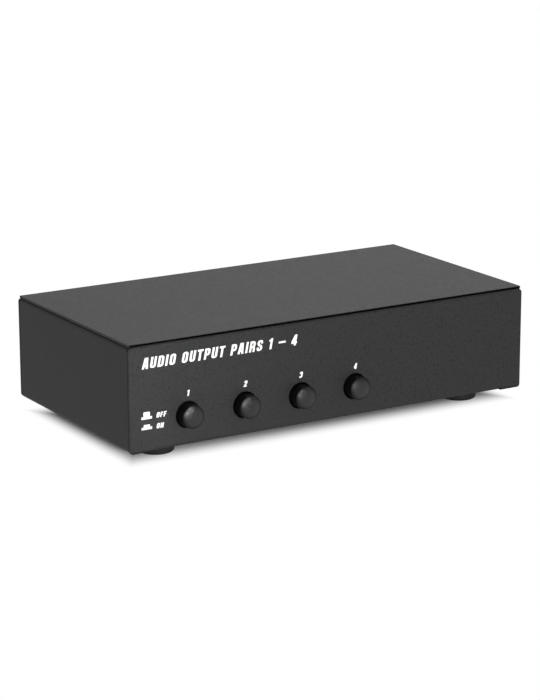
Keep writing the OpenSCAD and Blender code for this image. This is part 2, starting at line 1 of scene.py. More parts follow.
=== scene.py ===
import math
import bmesh
import bpy
from mathutils import Matrix, Vector


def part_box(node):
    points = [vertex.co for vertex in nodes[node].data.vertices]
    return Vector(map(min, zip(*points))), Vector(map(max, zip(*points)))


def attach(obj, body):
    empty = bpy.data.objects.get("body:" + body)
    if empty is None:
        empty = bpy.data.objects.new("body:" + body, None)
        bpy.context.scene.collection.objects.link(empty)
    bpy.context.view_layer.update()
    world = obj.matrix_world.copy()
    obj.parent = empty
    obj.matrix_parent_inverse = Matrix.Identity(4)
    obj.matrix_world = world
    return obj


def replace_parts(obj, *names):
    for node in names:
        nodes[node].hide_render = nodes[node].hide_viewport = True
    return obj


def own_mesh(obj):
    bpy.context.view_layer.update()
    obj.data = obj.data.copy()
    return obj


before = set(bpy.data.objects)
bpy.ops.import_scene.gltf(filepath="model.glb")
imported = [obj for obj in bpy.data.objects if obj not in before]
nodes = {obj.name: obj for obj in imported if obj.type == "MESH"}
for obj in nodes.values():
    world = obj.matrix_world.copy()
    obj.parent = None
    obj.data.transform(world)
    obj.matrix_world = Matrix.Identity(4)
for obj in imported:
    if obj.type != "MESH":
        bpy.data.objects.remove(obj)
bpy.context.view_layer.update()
mm = 0.001
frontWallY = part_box("chassis")[0].y
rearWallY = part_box("chassis")[1].y
print("frame loaded:", len(nodes), "pieces")


# Camera, at the photograph's angle, in millimetres and degrees
cameraSet = {"place": (-580.26, -959.55, 324.38), "yaw": 31.129, "pitch": 14.909, "roll": -0.18, "lens": 129.54,
             "sensor": 36, "nearM": 0.05, "farM": 40}


def makeCamera(values):
    data = bpy.data.cameras.new("studioCamera")
    data.sensor_width = values["sensor"]
    data.lens = values["lens"]
    data.clip_start, data.clip_end = values["nearM"], values["farM"]
    cam = bpy.data.objects.new("studioCamera", data)
    turn = (Matrix.Rotation(-math.radians(values["yaw"]), 4, "Z")
            @ Matrix.Rotation(math.radians(90 - values["pitch"]), 4, "X")
            @ Matrix.Rotation(math.radians(values["roll"]), 4, "Z"))
    cam.matrix_world = Matrix.Translation(Vector(values["place"]) * mm) @ turn
    bpy.context.scene.collection.objects.link(cam)
    bpy.context.scene.camera = cam


makeCamera(cameraSet)
print("camera placed")


# Helpers for materials
def linearColour(hexCode):
    parts = [int(hexCode[i:i + 2], 16) / 255 for i in (1, 3, 5)]
    return [p / 12.92 if p <= 0.04045 else ((p + 0.055) / 1.055) ** 2.4 for p in parts] + [1.0]


def addNode(tree, kind, inputs=None, **settings):
    node = tree.nodes.new(kind)
    for name, value in settings.items():
        setattr(node, name, value)
    for key, value in (inputs or {}).items():
        if isinstance(value, bpy.types.NodeSocket):
            tree.links.new(value, node.inputs[key])
        else:
            node.inputs[key].default_value = value
    return node


def startMaterial(name, **fixed):
    material = bpy.data.materials.new(name)
    material.use_nodes = True
    tree = material.node_tree
    tree.nodes.clear()
    shader = addNode(tree, "ShaderNodeBsdfPrincipled", fixed)
    out = addNode(tree, "ShaderNodeOutputMaterial")
    tree.links.new(shader.outputs[0], out.inputs["Surface"])
    place = addNode(tree, "ShaderNodeTexCoord").outputs["Object"]
    return material, tree, shader, place


# A noise whose lumps are about sizeMm across
def noiseOf(tree, place, sizeMm, detail=2.0, roughness=0.5):
    settings = {"Vector": place, "Scale": 1 / (sizeMm * mm), "Detail": detail, "Roughness": roughness}
    return addNode(tree, "ShaderNodeTexNoise", settings).outputs[0]


def ramped(tree, factor, low, high, start=0.0, end=1.0):
    ramp = addNode(tree, "ShaderNodeValToRGB", {"Fac": factor})
    ramp.color_ramp.elements[0].position, ramp.color_ramp.elements[1].position = start, end
    ramp.color_ramp.elements[0].color, ramp.color_ramp.elements[1].color = low, high
    return ramp.outputs[0]


def ranged(tree, factor, low, high, start=0.3, end=0.7):
    settings = {"Value": factor, "From Min": start, "From Max": end, "To Min": low, "To Max": high}
    return addNode(tree, "ShaderNodeMapRange", settings).outputs[0]


# Rounded edges and surface relief together; the heights are (socket, height in millimetres) pairs
def reliefOf(tree, shader, edgeMm, heights):
    normal = addNode(tree, "ShaderNodeBevel", {"Radius": edgeMm * mm}, samples=6).outputs[0]
    for socket, heightMm in heights:
        settings = {"Height": socket, "Distance": heightMm * mm, "Normal": normal}
        normal = addNode(tree, "ShaderNodeBump", settings).outputs[0]
    tree.links.new(normal, shader.inputs["Normal"])


# Fine-textured polyester powder coat: a baked-on black skin that breaks the light into soft grain
# seam is the colour of the painted shade in the seams and along the lowest fold
coatLook = {"seam": "#040404", "deep": "#101010", "pale": "#242424", "grainMm": 0.6, "mottleMm": 1.3,
            "waveMm": 18, "grainHigh": 0.035, "mottleHigh": 0.03, "waveHigh": 0.05, "rough": 0.62,
            "roughSwing": 0.05, "specular": 0.25, "creviceShadeMm": 1.2, "creviceShadeShut": 0.45, "creviceShadeOpen": 0.85,
            "foldShadeStart": 6.1, "foldShadeEnd": 7.3, "foldShadeLeft": 0.3, "toneStart": 0.75, "toneEnd": 1.25}


def powderCoat(name, edgeMm):
    material, tree, shader, place = startMaterial(name, IOR=1.5)
    grain = noiseOf(tree, place, coatLook["grainMm"], 3.0, 0.6)        # real grit is 0.2 mm, drawn coarser
    mottle = noiseOf(tree, place, coatLook["mottleMm"], 2.0, 0.5)
    wave = noiseOf(tree, place, coatLook["waveMm"], 1.0, 0.4)          # slow swell left by the oven
    both = addNode(tree, "ShaderNodeMath", {0: grain, 1: mottle}, operation="ADD").outputs[0]
    colour = ramped(tree, both, linearColour(coatLook["deep"]), linearColour(coatLook["pale"]),
                    coatLook["toneStart"], coatLook["toneEnd"])

    # Painted shade: the colour and gloss go dark in the seams, by ambient occlusion, and along the lowest fold, by
    # height
    seam = addNode(tree, "ShaderNodeAmbientOcclusion", {"Distance": coatLook["creviceShadeMm"] * mm}, samples=12)
    creviceUnshaded = ranged(tree, seam.outputs[1], 0.0, 1.0, coatLook["creviceShadeShut"], coatLook["creviceShadeOpen"])
    spot = addNode(tree, "ShaderNodeNewGeometry").outputs["Position"]
    height = addNode(tree, "ShaderNodeSeparateXYZ", {0: spot}).outputs[2]
    foldUnshaded = ranged(tree, height, coatLook["foldShadeLeft"], 1.0, coatLook["foldShadeStart"] * mm,
                      coatLook["foldShadeEnd"] * mm)
    # cover is one where the coat is unshaded, and falls to nought in the painted shade
    cover = addNode(tree, "ShaderNodeMath", {0: creviceUnshaded, 1: foldUnshaded}, operation="MULTIPLY").outputs[0]
    shadedCoat = addNode(tree, "ShaderNodeMix", {"Factor": cover, "A": linearColour(coatLook["seam"]), "B": colour},
                      data_type="RGBA")
    tree.links.new(shadedCoat.outputs[2], shader.inputs["Base Color"])
    tree.links.new(ranged(tree, cover, 0.0, coatLook["specular"], 0.0, 1.0),           # painted shade: less gloss in the seams and along the lowest fold
                   shader.inputs["Specular IOR Level"])
    tree.links.new(ranged(tree, mottle, coatLook["rough"] - coatLook["roughSwing"],
                          coatLook["rough"] + coatLook["roughSwing"]), shader.inputs["Roughness"])
    reliefOf(tree, shader, edgeMm, [(wave, coatLook["waveHigh"]), (mottle, coatLook["mottleHigh"]),
                                    (grain, coatLook["grainHigh"])])
    return material


# Screen ink: a thin white print with a dry surface and slightly uneven cover
inkLook = {"deep": "#e9e9e6", "pale": "#f6f6f4", "rough": 0.55, "coverMm": 0.5, "coverHigh": 0.003, "edgeMm": 0.02}


def screenInk():
    material, tree, shader, place = startMaterial("screenInkWhite", Roughness=inkLook["rough"], IOR=1.48)
    cover = noiseOf(tree, place, inkLook["coverMm"], 2.0)
    tree.links.new(ramped(tree, cover, linearColour(inkLook["deep"]), linearColour(inkLook["pale"]), 0.3, 0.7),
                   shader.inputs["Base Color"])
    reliefOf(tree, shader, inkLook["edgeMm"], [(cover, inkLook["coverHigh"])])
    return material


# Moulded plastics: one colour through, a fine spark-eroded skin and slow sink marks
plasticLook = {"sinkMm": 4.0, "glossier": 0.04, "duller": 0.05}


def mouldedPlastic(name, deep, pale, roughness, grainMm=0.3, edgeMm=0.2, grainHigh=0.004, specular=0.5,
                   sinkHigh=0.01):
    material, tree, shader, place = startMaterial(name, IOR=1.53)
    shader.inputs["Specular IOR Level"].default_value = specular
    grain = noiseOf(tree, place, grainMm, 2.0)
    sink = noiseOf(tree, place, plasticLook["sinkMm"], 1.0)
    tree.links.new(ramped(tree, sink, linearColour(deep), linearColour(pale), 0.3, 0.7),
                   shader.inputs["Base Color"])
    tree.links.new(ranged(tree, grain, roughness - plasticLook["glossier"], roughness + plasticLook["duller"]),
                   shader.inputs["Roughness"])
    reliefOf(tree, shader, edgeMm, [(sink, sinkHigh), (grain, grainHigh)])
    return material


# Painted shade: the skirt and the rim of a cap are given less gloss than its crown, to stand for dark surroundings
# in their reflection; both depths are from the wall's face
capRimShade = {"crown": 0.42, "crownOut": 5.6, "skirt": 0.08, "skirtOut": 5.0}


def dullSkirt(material, values):
    tree = material.node_tree
    shader = next(n for n in tree.nodes if n.type == "BSDF_PRINCIPLED")
    spot = addNode(tree, "ShaderNodeSeparateXYZ", {0: addNode(tree, "ShaderNodeTexCoord").outputs["Object"]})
    tree.links.new(ranged(tree, spot.outputs[1], values["crown"], values["skirt"],
                          frontWallY - values["crownOut"] * mm, frontWallY - values["skirtOut"] * mm),
                   shader.inputs["Specular IOR Level"])


# Moulded rubber: dead black and matt, with a bloom that greys it in patches
rubberLook = {"deep": "#0c0c0c", "pale": "#161616", "dull": 0.82, "sheen": 0.68, "specular": 0.25, "bloomMm": 3.0,
              "grainMm": 0.4, "grainHigh": 0.012, "edgeMm": 0.3}


def mouldedRubber():
    material, tree, shader, place = startMaterial("mouldedRubberBlack", IOR=1.52)
    shader.inputs["Specular IOR Level"].default_value = rubberLook["specular"]      # its skin is dusty
    grain = noiseOf(tree, place, rubberLook["grainMm"], 3.0)
    bloom = noiseOf(tree, place, rubberLook["bloomMm"], 2.0)
    deep, pale = linearColour(rubberLook["deep"]), linearColour(rubberLook["pale"])
    tree.links.new(ramped(tree, bloom, deep, pale, 0.35, 0.7), shader.inputs["Base Color"])
    tree.links.new(ranged(tree, bloom, rubberLook["sheen"], rubberLook["dull"]), shader.inputs["Roughness"])
    reliefOf(tree, shader, rubberLook["edgeMm"], [(grain, rubberLook["grainHigh"])])
    return material


# Plated steel: bright zinc or black zinc over a pressed head, with faint rub marks
platedLook = {"patchMm": 0.9, "patchHigh": 0.004, "rubMm": 0.12, "glossier": 0.06, "duller": 0.1, "edgeMm": 0.06}


def platedSteel(name, deep, pale, roughness, metallic=1.0):
    material, tree, shader, place = startMaterial(name, Metallic=metallic)
    patch = noiseOf(tree, place, platedLook["patchMm"], 3.0)
    rub = noiseOf(tree, place, platedLook["rubMm"], 2.0)
    tree.links.new(ramped(tree, patch, linearColour(deep), linearColour(pale), 0.3, 0.75),
                   shader.inputs["Base Color"])
    tree.links.new(ranged(tree, rub, roughness - platedLook["glossier"], roughness + platedLook["duller"]),
                   shader.inputs["Roughness"])
    reliefOf(tree, shader, platedLook["edgeMm"], [(patch, platedLook["patchHigh"])])
    return material


# Rolled or drawn metal: fine lines along the way that it was worked, axis 0, 1 or 2
drawnLook = {"lineMm": 0.08, "lineLongMm": 4, "lineHigh": 0.002, "glossier": 0.05, "duller": 0.08, "edgeMm": 0.05}


def drawnMetal(name, deep, pale, roughness, axis):
    material, tree, shader, place = startMaterial(name, Metallic=1.0)
    stretch = [1 / (drawnLook["lineMm"] * mm)] * 3
    stretch[axis] = 1 / (drawnLook["lineLongMm"] * mm)
    lines = addNode(tree, "ShaderNodeMapping", {"Vector": place, "Scale": stretch}).outputs[0]
    streak = addNode(tree, "ShaderNodeTexNoise", {"Vector": lines, "Scale": 1.0, "Detail": 2.0}).outputs[0]
    tree.links.new(ramped(tree, streak, linearColour(deep), linearColour(pale), 0.3, 0.7),
                   shader.inputs["Base Color"])
    tree.links.new(ranged(tree, streak, roughness - drawnLook["glossier"], roughness + drawnLook["duller"]),
                   shader.inputs["Roughness"])
    reliefOf(tree, shader, drawnLook["edgeMm"], [(streak, drawnLook["lineHigh"])])
    return material


# Glass-cloth laminate under green solder mask: copper tracks show as paler bands below the skin
boardLook = {"mask": "#123d1d", "track": "#1d5a2b", "trackMm": 2.6, "trackLongMm": 31, "trackHigh": 0.03,
             "gapMm": 0.5, "weaveMm": 0.3, "weaveHigh": 0.003, "edgeMm": 0.05, "rough": 0.28,
             "startMm": (1.3, 0.7, 0)}


def maskedBoard():
    material, tree, shader, place = startMaterial("solderMaskGreen", Roughness=boardLook["rough"], IOR=1.5)
    start = [v * mm for v in boardLook["startMm"]]
    turned = addNode(tree, "ShaderNodeMapping", {"Vector": place, "Location": start}).outputs[0]
    copper = linearColour(boardLook["track"])
    tracks = addNode(tree, "ShaderNodeTexBrick", {
        "Vector": turned, "Color1": copper, "Color2": copper, "Mortar": linearColour(boardLook["mask"]),
        "Scale": 1.0, "Mortar Size": boardLook["gapMm"] * mm, "Mortar Smooth": 0.2,
        "Brick Width": boardLook["trackLongMm"] * mm, "Row Height": boardLook["trackMm"] * mm})
    tree.links.new(tracks.outputs[0], shader.inputs["Base Color"])
    weave = noiseOf(tree, place, boardLook["weaveMm"], 1.0)
    reliefOf(tree, shader, boardLook["edgeMm"],
             [(tracks.outputs[1], -boardLook["trackHigh"]), (weave, boardLook["weaveHigh"])])
    return material


caseCoat = powderCoat("powderCoatBlack", edgeMm=0.35)
lidCoat = powderCoat("powderCoatBlackLid", edgeMm=0.2)
inkWhite = screenInk()
capAbs = mouldedPlastic("satinAbsBlack", "#0a0a0a", "#101010", 0.31, grainMm=0.35, edgeMm=0.15, grainHigh=0.0015,
                        sinkHigh=0.004)
dullSkirt(capAbs, capRimShade)
terminalAbs = mouldedPlastic("mouldedAbsBlack", "#161617", "#1d1d1f", 0.36)
leverRed = mouldedPlastic("mouldedAbsRed", "#a3141a", "#b81a20", 0.3)
leverBlack = mouldedPlastic("mouldedAbsBlackLever", "#131314", "#1a1a1b", 0.3)
switchPbt = mouldedPlastic("mouldedPbtGrey", "#2a2b2e", "#333437", 0.5)
plungerNylon = mouldedPlastic("mouldedNylonNatural", "#d3ccb9", "#ded8c8", 0.42)
leadPvc = mouldedPlastic("extrudedPvcRed", "#85161a", "#971c20", 0.42, grainMm=0.6, edgeMm=0.1)
footRubber = mouldedRubber()
zincSteel = platedSteel("brightZincSteel", "#a4a8ad", "#c3c6c9", 0.3)
blackSteel = platedSteel("blackZincSteel", "#1a1b1d", "#292a2d", 0.42, metallic=0.7)
springSteel = drawnMetal("drawnSpringSteel", "#8f9194", "#b9bbbe", 0.3, axis=1)
contactBronze = drawnMetal("rolledPhosphorBronze", "#a8895a", "#c7a873", 0.3, axis=0)
turnedBrass = drawnMetal("turnedBrass", "#a98a43", "#c8a95c", 0.28, axis=2)
boardMask = maskedBoard()
seamShadowFill = mouldedPlastic("paintedSeamShadowBlack", "#050505", "#0a0a0a", 0.8, grainMm=0.5, edgeMm=0.05, grainHigh=0.01,
                            specular=0.1)                # painted shadow: dead black, so that the seam reads as a shadow
print("materials made")


def dress(names, material):
    for name in names:
        mesh = nodes[name].data
        if not mesh.materials:
            mesh.materials.append(material)
        for i in range(len(mesh.materials)):
            mesh.materials[i] = material


dress(["chassis"], caseCoat)
dress(["lid"], lidCoat)
dress(["switch_board"], boardMask)
dress(["standoffs"], turnedBrass)
dress([n for n in nodes if n.startswith("foot_") and n != "foot_screws"], footRubber)
dress([n for n in nodes if n.startswith("switch_housing")], switchPbt)
dress([n for n in nodes if n.startswith("plunger")], plungerNylon)
dress([n for n in nodes if n.startswith("terminal_block")], terminalAbs)
dress([n for n in nodes if n.startswith("contacts")], contactBronze)
dress([n for n in nodes if n.startswith("lever") and n.endswith("pos")], leverRed)
dress([n for n in nodes if n.startswith("lever") and n.endswith("neg")], leverBlack)
print("frame dressed")


# Helpers for meshes; a piece rides on a body and takes a material
def addObject(name, mesh, material, body):
    obj = bpy.data.objects.new(name, mesh)
    mesh.materials.append(material)
    bpy.context.scene.collection.objects.link(obj)
    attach(obj, body)
    return obj


# A closed outline of (radius, distance) points turned round an axis; matrix sets the axis in place
def turnProfile(bm, profile, sides, matrix):
    rings = []
    for k in range(sides):
        a = 2 * math.pi * k / sides
        rings.append([bm.verts.new(matrix @ Vector((r * math.cos(a), r * math.sin(a), d))) for r, d in profile])
    for k in range(sides):
        here, there = rings[k], rings[(k + 1) % sides]
        for i in range(len(profile) - 1):
            bm.faces.new((here[i], there[i], there[i + 1], here[i + 1]))
    bmesh.ops.remove_doubles(bm, verts=bm.verts, dist=1e-7)


def arcPoints(centre, radius, start, end, steps):
    angles = [math.radians(start + (end - start) * i / steps) for i in range(steps + 1)]
    return [(centre[0] + radius * math.cos(a), centre[1] + radius * math.sin(a)) for a in angles]


# A ring of points round a middle, in the plane of two directions
def roundRing(bm, middle, radius, first, second, sides):
    angles = [2 * math.pi * k / sides for k in range(sides)]
    return [bm.verts.new(middle + radius * (math.cos(a) * first + math.sin(a) * second)) for a in angles]


def bridgeRings(bm, rings):
    count = len(rings[0])
    for near, far in zip(rings, rings[1:]):
        for k in range(count):
            m = (k + 1) % count
            bm.faces.new((near[k], far[k], far[m], near[m]))


def closedTube(bm, rings):
    bridgeRings(bm, rings)
    bm.faces.new(rings[0])
    bm.faces.new(rings[-1][::-1])


def finishMesh(bm, name, sharpDegrees=40):
    bmesh.ops.recalc_face_normals(bm, faces=bm.faces)
    for face in bm.faces:
        face.smooth = True
    for edge in bm.edges:
        if len(edge.link_faces) == 2 and edge.calc_face_angle(0) > math.radians(sharpDegrees):
            edge.smooth = False
    mesh = bpy.data.meshes.new(name)
    bm.to_mesh(mesh)
    bm.free()
    return mesh


# Button caps: a domed crown with a soft rim on a drafted skirt, hollow behind, with a boss for the stem
capSet = {"radius": 5.3, "out": 6.0, "back": 6.5, "dome": 0.9, "rim": 0.4, "wall": 1.1, "boss": 3.4, "bore": 2.84,
          "skirtEdge": 0.2, "innerEdge": 0.1, "pocketOut": 2.0, "boreOut": 0.1, "sides": 120, "crownSteps": 14,
          "rimStart": 82, "rimSteps": 10}


def makeCap(number, values):
    low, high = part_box(f"button_cap_{number}")
    centre = (low + high) / 2
    flat = values["radius"] - values["rim"]
    rise = values["out"] - values["dome"]
    domeRadius = (flat ** 2 + values["dome"] ** 2) / (2 * values["dome"])
    reach = math.degrees(math.asin(flat / domeRadius))
    crown = arcPoints((0, values["out"] - domeRadius), domeRadius, 90, 90 - reach, values["crownSteps"])
    rim = arcPoints((flat, rise - values["rim"]), values["rim"], values["rimStart"], 0, values["rimSteps"])
    radius, back, inner = values["radius"], -values["back"], values["radius"] - values["wall"]
    boss, bore, pocket = values["boss"], values["bore"], values["pocketOut"]
    profile = [(max(r, 0), d) for r, d in crown] + rim + [
        (radius, back + values["skirtEdge"]), (radius - values["skirtEdge"], back),
        (inner + values["innerEdge"], back), (inner, back + values["innerEdge"]), (inner, pocket), (boss, pocket),
        (boss, back), (bore, back), (bore, values["boreOut"]), (0, values["boreOut"])]
    bm = bmesh.new()
    place = (Matrix.Translation((centre.x, frontWallY, centre.z)) @ Matrix.Rotation(math.pi / 2, 4, "X")
             @ Matrix.Scale(mm, 4))
    turnProfile(bm, profile, values["sides"], place)
    cap = addObject(f"domedCap{number}", finishMesh(bm, f"domedCap{number}"), capAbs, f"button_{number}")
    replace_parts(cap, f"button_cap_{number}")


for number in range(1, 5):
    makeCap(number, capSet)
print("button caps made")


# Return springs: round wire wound with one closed turn at each end, as long as the spring in the frame
springSet = {"wire": 0.25, "turns": 7, "closedPitch": 0.54, "steps": 24, "sides": 12, "stroke": 4.0, "look": 0.02}


def makeSpring(number, values):
    low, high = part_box(f"switch_spring_{number}")
    centre = (low + high) / 2
    wire, turns, closed = values["wire"] * mm, values["turns"], values["closedPitch"] * mm
    radius = (high.x - low.x) / 2 - wire
    length = high.y - low.y - 2 * wire
    pitch = (length - 2 * closed) / (turns - 2)

    # Way along the axis after a number of turns, with the end turns lying close
    def along(turn):
        return turn * closed if turn < 1 else min(closed + (turn - 1) * pitch, length - (turns - turn) * closed)

    def onPath(turn):
        a = 2 * math.pi * turn
        return Vector((centre.x + radius * math.cos(a), low.y + wire + along(turn),
                       centre.z + radius * math.sin(a)))

    bm = bmesh.new()
    rings = []
    for i in range(turns * values["steps"] + 1):
        turn = i / values["steps"]
        ahead = (onPath(min(turn + values["look"], turns)) - onPath(max(turn - values["look"], 0))).normalized()
        out = Vector((math.cos(2 * math.pi * turn), 0, math.sin(2 * math.pi * turn)))
        out = (out - ahead * out.dot(ahead)).normalized()
        rings.append(roundRing(bm, onPath(turn), wire, out, ahead.cross(out), values["sides"]))
    closedTube(bm, rings)
    name = f"woundSpring{number}"
    spring = addObject(name, finishMesh(bm, name), springSteel, "case")
    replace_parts(spring, f"switch_spring_{number}")
    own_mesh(spring)


for number in range(1, 5):
    makeSpring(number, springSet)
print("return springs made")


# Leads: soft insulated wire that leaves its pad straight up and bends over towards its terminal
leadSet = {"radius": 0.8, "bend": 2.4, "bendSteps": 10, "sides": 20, "least": 2}


# Low and high corners of the separate solids, of leastMm or more, in one of the frame's nodes
def solidBoxes(name, leastMm):
    place = nodes[name].matrix_world
    bm = bmesh.new()
    bm.from_mesh(nodes[name].data)
    bmesh.ops.remove_doubles(bm, verts=bm.verts, dist=1e-6)
    seen, boxes = set(), []
    for first in bm.verts:
        if first in seen:
            continue
        seen.add(first)
        group = [first]
        for vert in group:
            for edge in vert.link_edges:
                other = edge.other_vert(vert)
                if other not in seen:
                    seen.add(other)
                    group.append(other)
        spots = [place @ v.co for v in group]
        low, high = [Vector([pick(p[i] for p in spots) for i in range(3)]) for pick in (min, max)]
        if (high - low).length > leastMm * mm:
            boxes.append((low, high))
    bm.free()
    return sorted(boxes, key=lambda box: tuple(box[0]))


def makeLeads(values):
    radius, bend, steps = values["radius"] * mm, values["bend"] * mm, values["bendSteps"]
    bm = bmesh.new()
    boxes = solidBoxes("hookup_leads", values["least"])
    for low, high in boxes:
        middle, foot, top = (low.x + high.x) / 2, low.y + radius, high.z - radius
        path = [(foot, low.z, 0)]                  # way back, way up, lean in radians
        for i in range(steps + 1):
            lean = math.pi / 2 * i / steps
            path.append((foot + bend * (1 - math.cos(lean)), top - bend * (1 - math.sin(lean)), lean))
        path.append((high.y, top, math.pi / 2))
        closedTube(bm, [roundRing(bm, Vector((middle, y, z)), radius, Vector((1, 0, 0)),
                                  Vector((0, math.cos(lean), -math.sin(lean))), values["sides"])
                        for y, z, lean in path])
    leads = addObject("bentLeads", finishMesh(bm, "bentLeads"), leadPvc, "case")
    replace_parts(leads, "hookup_leads")
    print("leads made:", len(boxes))


makeLeads(leadSet)


# Painted seam shadow: a dead black strip that fills the wedge between each end of the lid and the rounded fold
# below it, where there is only shade
seamShadowSet = {"fold": 1.9, "free": 0.01, "start": 0.12, "stop": 1.55, "ends": 0.15, "steps": 8}


def makeSeamBeads(values):
    caseLow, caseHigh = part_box("chassis")
    lidLow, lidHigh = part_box("lid")
    radius, free = values["fold"], values["free"]
    first = (caseHigh.x - lidHigh.x) / mm + values["start"]
    inward = [first + (values["stop"] - first) * i / values["steps"] for i in range(values["steps"] + 1)]
    outline = [(first, free), (values["stop"], free)]
    outline += [(u, radius - math.sqrt(radius ** 2 - (radius - u) ** 2) - free) for u in reversed(inward)]
    bm = bmesh.new()
    for edge, turn in ((caseHigh.x, -1), (caseLow.x, 1)):
        near, far = [[bm.verts.new((edge + turn * u * mm, y, caseHigh.z - v * mm)) for u, v in outline]
                     for y in (lidLow.y + values["ends"] * mm, lidHigh.y - values["ends"] * mm)]
        for k in range(len(outline)):
            m = (k + 1) % len(outline)
            bm.faces.new((near[k], near[m], far[m], far[k]))
        bm.faces.new(near)
        bm.faces.new(far[::-1])
    addObject("seamShadowStrips", finishMesh(bm, "seamShadowStrips", 30), seamShadowFill, "case")


makeSeamBeads(seamShadowSet)
print("seam beads made")


# Pan-head screws with a cross recess; the head stands on the plane that the shank leaves
screwSet = {"head": 2.6, "high": 1.7, "dome": 0.6, "shank": 1.45, "cross": 0.55, "reach": 1.75, "deep": 1.15,
            "wallSlope": 0.12, "endSlope": 0.45, "grid": 30, "gridOver": 1.02, "crownEdge": 2.0,
            "rim": [(-0.25, 0.2), (-0.06, 0.02), (0, -0.12)], "footEdge": 0.06, "tip": 0.01}


def makeScrew(bm, values, place, length):
    head, shank, foot = values["head"], values["shank"], values["footEdge"]
    rise = values["high"] - values["dome"]
    domeRadius = (head ** 2 + values["dome"] ** 2) / (2 * values["dome"])
    turned = place @ Matrix.Scale(mm, 4)

    def crownHeight(radius):
        return values["high"] - domeRadius + math.sqrt(domeRadius ** 2 - radius ** 2)

    # Depth of the cross recess at a point of the crown, in the head's own millimetres
    def recess(x, y):
        across, along = sorted((abs(x), abs(y)))
        if along > values["reach"]:
            return 0
        wall = min(1, max(0, (values["cross"] - across) / values["wallSlope"]))
        return wall * values["deep"] * min(1, (values["reach"] - along) / values["endSlope"])

    count, half = values["grid"], values["reach"] * values["gridOver"]
    grid = {}
    for i in range(count + 1):
        for j in range(count + 1):
            x, y = -half + 2 * half * i / count, -half + 2 * half * j / count
            grid[i, j] = bm.verts.new(turned @ Vector((x, y, crownHeight(math.hypot(x, y)) - recess(x, y))))
    for i in range(count):
        for j in range(count):
            bm.faces.new((grid[i, j], grid[i + 1, j], grid[i + 1, j + 1], grid[i, j + 1]))
    edge = ([grid[i, 0] for i in range(count)] + [grid[count, j] for j in range(count)]
            + [grid[i, count] for i in range(count, 0, -1)] + [grid[0, j] for j in range(count, 0, -1)])
    profile = [(values["crownEdge"], crownHeight(values["crownEdge"]))]
    profile += [(head + outward, rise + upward) for outward, upward in values["rim"]]
    profile += [(head, foot), (head - foot, 0), (shank, 0), (shank, -length), (values["tip"], -length)]
    flat = turned.inverted()
    angles = [math.atan2(spot.y, spot.x) for spot in (flat @ vert.co for vert in edge)]
    bridgeRings(bm, [edge] + [[bm.verts.new(turned @ Vector((radius * math.cos(a), radius * math.sin(a), d)))
                               for a in angles] for radius, d in profile])


# Screws of one kind; turn is the angle in degrees between the recess of one screw and the next
def makeScrews(name, node, spots, direction, turn, length, material):
    bm = bmesh.new()
    aim = Vector(direction).to_track_quat("Z", "Y").to_matrix().to_4x4()
    for k, spot in enumerate(spots):
        place = Matrix.Translation(spot) @ aim @ Matrix.Rotation(math.radians(turn * (k + 1)), 4, "Z")
        makeScrew(bm, screwSet, place, length)
    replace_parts(addObject(name, finishMesh(bm, name, 30), material, "case"), node)


# Where the screws sit and how long their shanks are, in millimetres
screwRows = {"blockPitch": 38, "lidPitch": 57, "lidLong": 6, "blockLong": 7, "footLong": 5.8, "boardLong": 5.5,
             "lidTurn": 37, "blockTurn": 29, "footTurn": 41, "boardTurn": 33}


def middleOf(box):
    return (box[0] + box[1]) / 2


headRadius, headHigh = screwSet["head"] * mm, screwSet["high"] * mm
blockX = [(2 - b) * screwRows["blockPitch"] * mm for b in range(5)]
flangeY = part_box("terminal_block_amp")[1].y
blockZ = middleOf(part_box("terminal_block_amp")).z
lidScrewZ = middleOf(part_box("lid_screws")).z
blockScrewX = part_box("block_screws")[1].x - blockX[0] - headRadius
footMiddles = [middleOf(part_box(n)) for n in nodes if n.startswith("foot_") and n != "foot_screws"]
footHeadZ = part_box("foot_screws")[0].z + headHigh
boardLow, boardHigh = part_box("board_screws")
makeScrews("lidScrewsCross", "lid_screws",
           [(x * screwRows["lidPitch"] * mm, rearWallY, lidScrewZ) for x in (-1, 0, 1)],
           (0, 1, 0), screwRows["lidTurn"], screwRows["lidLong"], blackSteel)
makeScrews("blockScrewsCross", "block_screws",
           [(x + s * blockScrewX, flangeY, blockZ) for x in blockX for s in (-1, 1)],
           (0, 1, 0), screwRows["blockTurn"], screwRows["blockLong"], blackSteel)
makeScrews("footScrewsCross", "foot_screws", [(p.x, p.y, footHeadZ) for p in footMiddles],
           (0, 0, -1), screwRows["footTurn"], screwRows["footLong"], zincSteel)
makeScrews("boardScrewsCross", "board_screws",
           [(x, y, boardHigh.z - headHigh) for x in (boardLow.x + headRadius, boardHigh.x - headRadius)
            for y in (boardLow.y + headRadius, boardHigh.y - headRadius)],
           (0, 0, 1), screwRows["boardTurn"], screwRows["boardLong"], zincSteel)
print("screws made")


